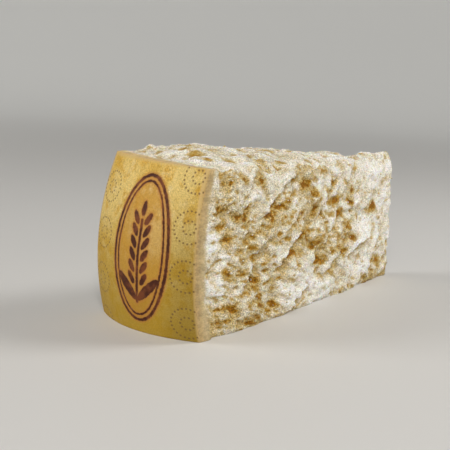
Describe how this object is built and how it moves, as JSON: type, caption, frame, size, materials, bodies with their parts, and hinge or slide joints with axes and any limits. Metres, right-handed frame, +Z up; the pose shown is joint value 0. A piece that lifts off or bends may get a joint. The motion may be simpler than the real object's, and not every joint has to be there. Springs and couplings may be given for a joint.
{
  "type": "hard cheese wedge",
  "caption": "Long wedge of hard aged cheese with a bulging rind end, a pointed tip and rough broken sides and top; lies flat on its cut base.",
  "frame": {"origin": "bottom centre of the bounding box, on the surface the wedge stands on", "axes": "+X from the rind to the tip, +Z up from the cut base to the broken top, +Y to the left seen from the rind"},
  "size_m": [0.2364, 0.0772, 0.0957],
  "materials": {
    "flesh": "dry, crumbly and granular, cream to white with pale gold hollows",
    "rind": "smooth oiled rind, golden tan and faintly mottled"
  },
  "bodies": {
    "root": {"cheese_wedge": "flesh"}
  },
  "joints": []
}
